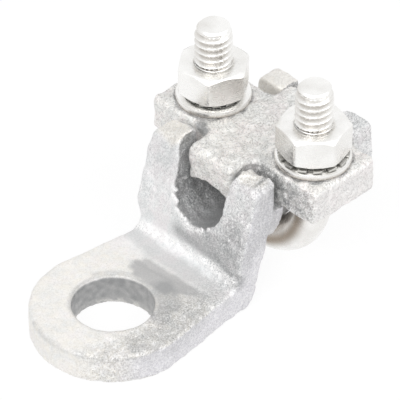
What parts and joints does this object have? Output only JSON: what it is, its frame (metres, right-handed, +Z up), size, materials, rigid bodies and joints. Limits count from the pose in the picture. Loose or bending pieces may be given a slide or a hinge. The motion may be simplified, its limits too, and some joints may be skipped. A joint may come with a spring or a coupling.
{
  "type": "anti-theft ground connector",
  "caption": "Grounding cable clamp: a cast eye lug bends up into a cable trough; a cast keeper is pulled down on it by a U-bolt with nuts and toothed washers.",
  "frame": {"origin": "centre of the lug hole on the underside of the lug", "axes": "+X from the hole to the clamp, +Y to the left side, +Z up, out of the face that the bolt head sits on"},
  "size_m": [0.062, 0.0378, 0.0379],
  "materials": {
    "casting": "sand cast, rough and matte",
    "stainless": "bright, turned and rolled"
  },
  "bodies": {
    "root": {"lug_body": "casting", "u_bolt": "stainless"},
    "keeper_set": {"keeper": "casting", "left_washer": "stainless", "right_washer": "stainless", "left_lock_washer": "stainless", "right_lock_washer": "stainless"},
    "left_nut_body": {"left_nut": "stainless"},
    "right_nut_body": {"right_nut": "stainless"}
  },
  "joints": [
    {"name": "keeper_lift", "type": "slide", "parent": "root", "child": "keeper_set", "axis": [0, 0, 1], "range_m": [0, 0.00635]},
    {"name": "left_nut_spin", "type": "hinge", "parent": "keeper_set", "child": "left_nut_body", "pos_m": [0.0339, 0.0116, 0.028], "axis": [0, 0, 1], "range_deg": [0, 1800]},
    {"name": "right_nut_spin", "type": "hinge", "parent": "keeper_set", "child": "right_nut_body", "pos_m": [0.0339, -0.0116, 0.028], "axis": [0, 0, 1], "range_deg": [0, 1800]}
  ],
  "couplings": [
    {"joint": "keeper_lift", "follows": "left_nut_spin", "m_per_rad": 0.00020212},
    {"joint": "right_nut_spin", "follows": "left_nut_spin", "ratio": 1}
  ]
}
